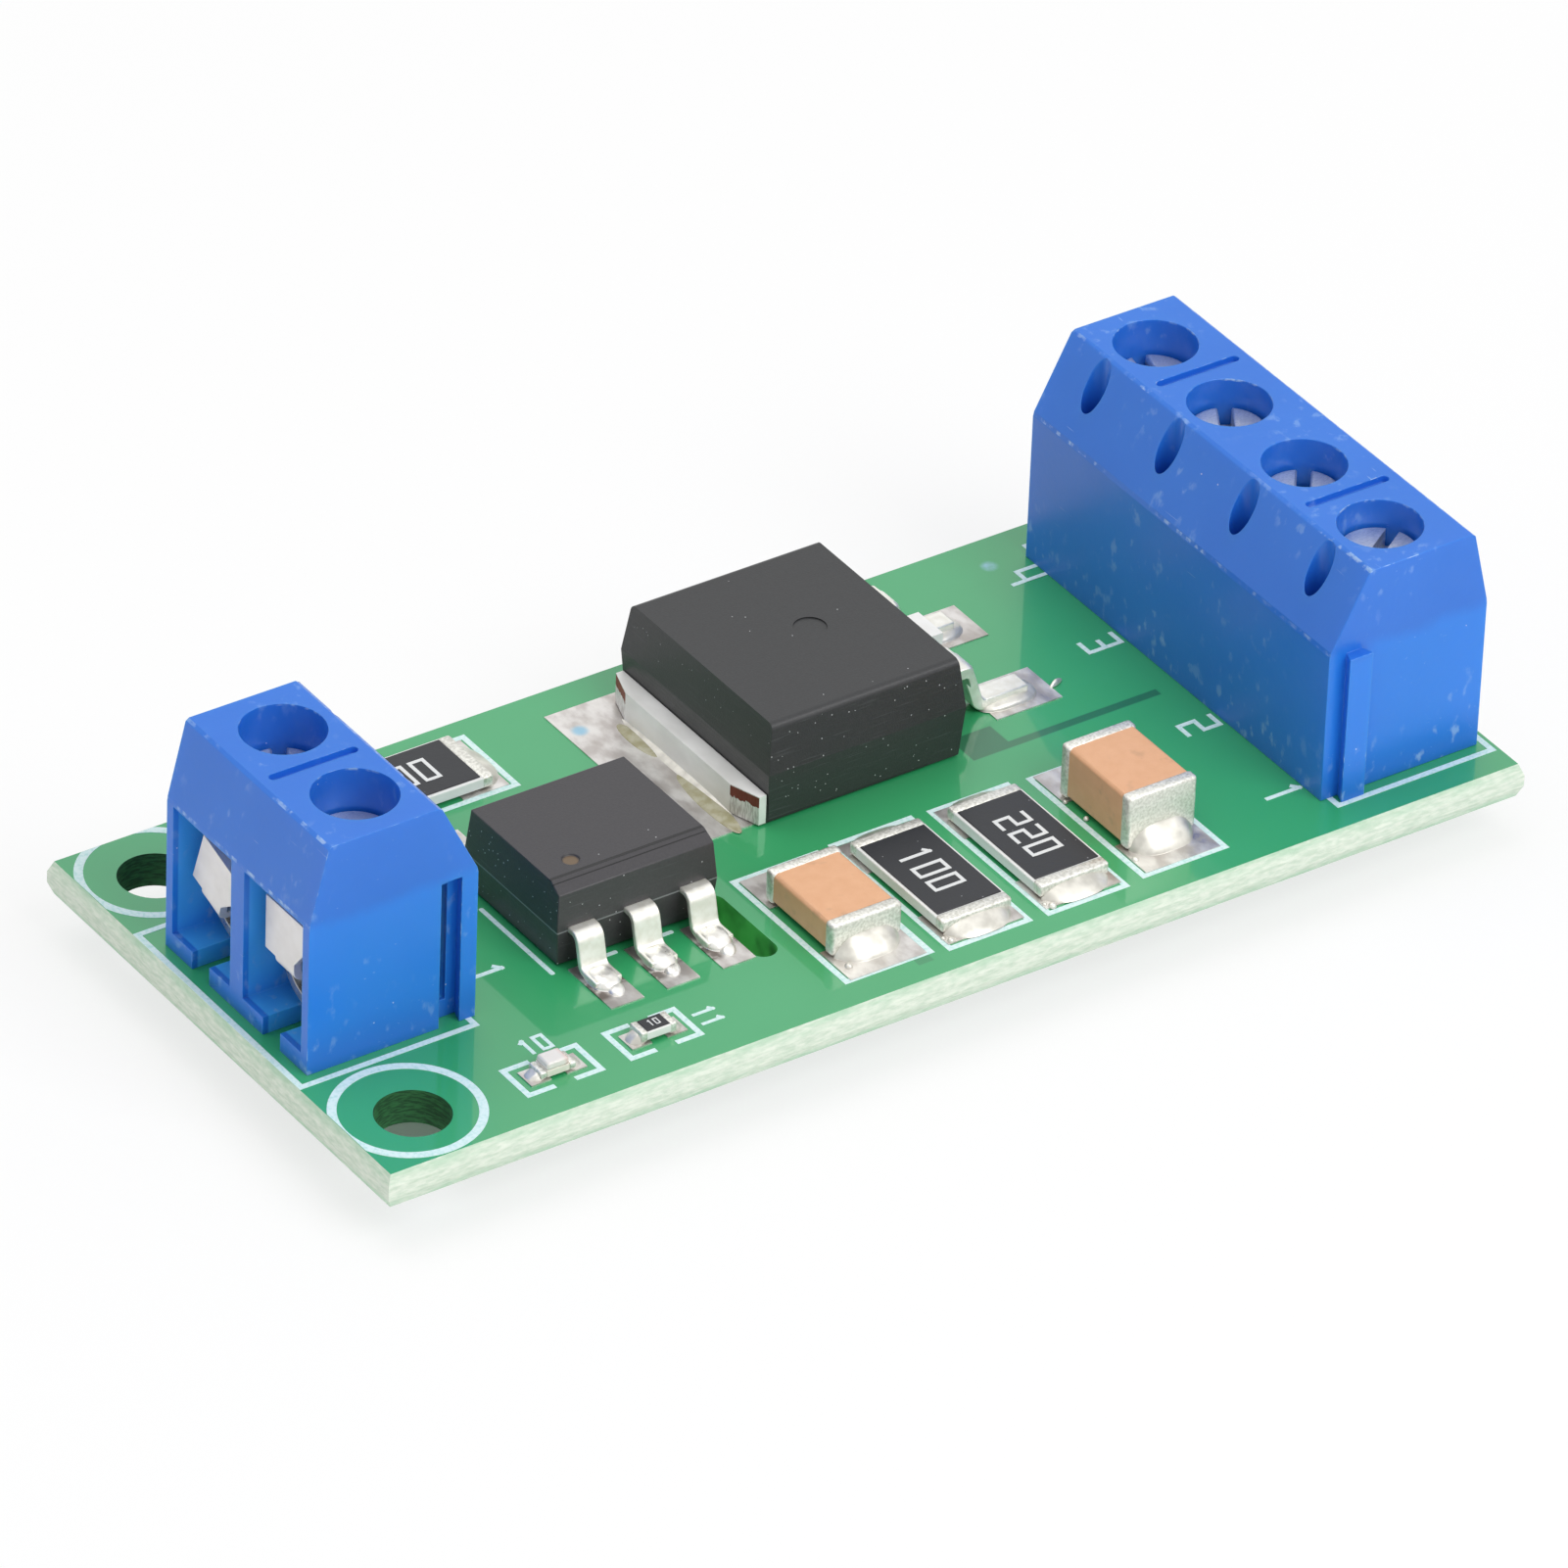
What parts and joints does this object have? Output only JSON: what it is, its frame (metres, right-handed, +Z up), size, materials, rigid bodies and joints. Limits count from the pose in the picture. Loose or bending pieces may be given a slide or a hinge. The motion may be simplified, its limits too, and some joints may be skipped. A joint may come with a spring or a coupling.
{
  "type": "thyristor control module",
  "caption": "Small green circuit board that switches a mains load: blue screw terminals at both ends, an optocoupler and a thyristor chip with a cooling tab.",
  "frame": {"origin": "under the middle of the board, at the tips of the terminal pins", "axes": "+X along the board from the control terminal to the mains terminal, +Y from the front edge with the indicator to the back edge, +Z up through the board"},
  "size_m": [0.0524, 0.0242, 0.0135],
  "materials": {
    "solder_mask": "glossy",
    "tinned_copper": "satin",
    "solder": "satin",
    "blue_moulding": "satin",
    "contact_metal": "satin",
    "plate_metal": "matte",
    "screw_steel": "satin",
    "black_moulding": "matte",
    "tab_metal": "satin",
    "lead_metal": "satin",
    "capacitor_ceramic": "matte",
    "cap_metal": "rough",
    "resistor_ceramic": "matte",
    "resistor_coat": "satin",
    "indicator_white": "matte",
    "indicator_clear": "glossy"
  },
  "bodies": {
    "board_assembly": {"circuit_board": "solder_mask", "tinned_pads": "tinned_copper", "control_terminal_housing": "blue_moulding", "mains_terminal_housing": "blue_moulding", "control_contact_1": "contact_metal", "control_contact_2": "contact_metal", "mains_contact_1": "contact_metal", "mains_contact_2": "contact_metal", "mains_contact_3": "contact_metal", "mains_contact_4": "contact_metal", "thyristor_package": "black_moulding", "thyristor_tab": "tab_metal", "thyristor_lead_1": "lead_metal", "thyristor_lead_2": "lead_metal", "optocoupler_body": "black_moulding", "optocoupler_lead_1": "lead_metal", "optocoupler_lead_2": "lead_metal", "optocoupler_lead_3": "lead_metal", "optocoupler_lead_4": "lead_metal", "optocoupler_lead_5": "lead_metal", "optocoupler_lead_6": "lead_metal", "capacitor_1_body": "capacitor_ceramic", "capacitor_1_end_caps": "cap_metal", "capacitor_2_body": "capacitor_ceramic", "capacitor_2_end_caps": "cap_metal", "resistor_1_substrate": "resistor_ceramic", "resistor_1_coat": "resistor_coat", "resistor_1_end_caps": "cap_metal", "resistor_2_substrate": "resistor_ceramic", "resistor_2_coat": "resistor_coat", "resistor_2_end_caps": "cap_metal", "resistor_3_substrate": "resistor_ceramic", "resistor_3_coat": "resistor_coat", "resistor_3_end_caps": "cap_metal", "small_resistor_substrate": "resistor_ceramic", "small_resistor_coat": "resistor_coat", "small_resistor_end_caps": "cap_metal", "indicator_base": "indicator_white", "indicator_lens": "indicator_clear", "indicator_terminals": "cap_metal", "chip_solder": "solder", "opto_solder": "solder", "thyristor_solder": "solder", "pin_solder": "solder"},
    "control_clamp_1": {"control_plate_1": "plate_metal"},
    "control_screw_1": {"control_screw_1": "screw_steel"},
    "control_clamp_2": {"control_plate_2": "plate_metal"},
    "control_screw_2": {"control_screw_2": "screw_steel"},
    "mains_clamp_1": {"mains_plate_1": "plate_metal"},
    "mains_screw_1": {"mains_screw_1": "screw_steel"},
    "mains_clamp_2": {"mains_plate_2": "plate_metal"},
    "mains_screw_2": {"mains_screw_2": "screw_steel"},
    "mains_clamp_3": {"mains_plate_3": "plate_metal"},
    "mains_screw_3": {"mains_screw_3": "screw_steel"},
    "mains_clamp_4": {"mains_plate_4": "plate_metal"},
    "mains_screw_4": {"mains_screw_4": "screw_steel"}
  },
  "joints": [
    {"name": "control_clamp_1_travel", "type": "slide", "parent": "board_assembly", "child": "control_clamp_1", "axis": [0, 0, 1], "range_m": [-0.0007, 0.0012]},
    {"name": "control_screw_1_turn", "type": "hinge", "parent": "control_clamp_1", "child": "control_screw_1", "pos_m": [-0.02176, -0.0025, 0.008], "axis": [0, 0, 1], "range_deg": [-504, 864]},
    {"name": "control_clamp_2_travel", "type": "slide", "parent": "board_assembly", "child": "control_clamp_2", "axis": [0, 0, 1], "range_m": [-0.0007, 0.0012]},
    {"name": "control_screw_2_turn", "type": "hinge", "parent": "control_clamp_2", "child": "control_screw_2", "pos_m": [-0.02176, 0.0025, 0.008], "axis": [0, 0, 1], "range_deg": [-504, 864]},
    {"name": "mains_clamp_1_travel", "type": "slide", "parent": "board_assembly", "child": "mains_clamp_1", "axis": [0, 0, 1], "range_m": [-0.00135, 0.0008]},
    {"name": "mains_screw_1_turn", "type": "hinge", "parent": "mains_clamp_1", "child": "mains_screw_1", "pos_m": [0.02186, -0.0075, 0.008], "axis": [0, 0, 1], "range_deg": [-972, 576]},
    {"name": "mains_clamp_2_travel", "type": "slide", "parent": "board_assembly", "child": "mains_clamp_2", "axis": [0, 0, 1], "range_m": [-0.00125, 0.0009]},
    {"name": "mains_screw_2_turn", "type": "hinge", "parent": "mains_clamp_2", "child": "mains_screw_2", "pos_m": [0.02186, -0.0025, 0.008], "axis": [0, 0, 1], "range_deg": [-900, 648]},
    {"name": "mains_clamp_3_travel", "type": "slide", "parent": "board_assembly", "child": "mains_clamp_3", "axis": [0, 0, 1], "range_m": [-0.00135, 0.0008]},
    {"name": "mains_screw_3_turn", "type": "hinge", "parent": "mains_clamp_3", "child": "mains_screw_3", "pos_m": [0.02186, 0.0025, 0.008], "axis": [0, 0, 1], "range_deg": [-972, 576]},
    {"name": "mains_clamp_4_travel", "type": "slide", "parent": "board_assembly", "child": "mains_clamp_4", "axis": [0, 0, 1], "range_m": [-0.00105, 0.001]},
    {"name": "mains_screw_4_turn", "type": "hinge", "parent": "mains_clamp_4", "child": "mains_screw_4", "pos_m": [0.02186, 0.0075, 0.008], "axis": [0, 0, 1], "range_deg": [-756, 720]}
  ],
  "couplings": [
    {"joint": "control_screw_1_turn", "follows": "control_clamp_1_travel", "rad_per_m": 12566},
    {"joint": "control_screw_2_turn", "follows": "control_clamp_2_travel", "rad_per_m": 12566},
    {"joint": "mains_screw_1_turn", "follows": "mains_clamp_1_travel", "rad_per_m": 12566},
    {"joint": "mains_screw_2_turn", "follows": "mains_clamp_2_travel", "rad_per_m": 12566},
    {"joint": "mains_screw_3_turn", "follows": "mains_clamp_3_travel", "rad_per_m": 12566},
    {"joint": "mains_screw_4_turn", "follows": "mains_clamp_4_travel", "rad_per_m": 12566}
  ]
}
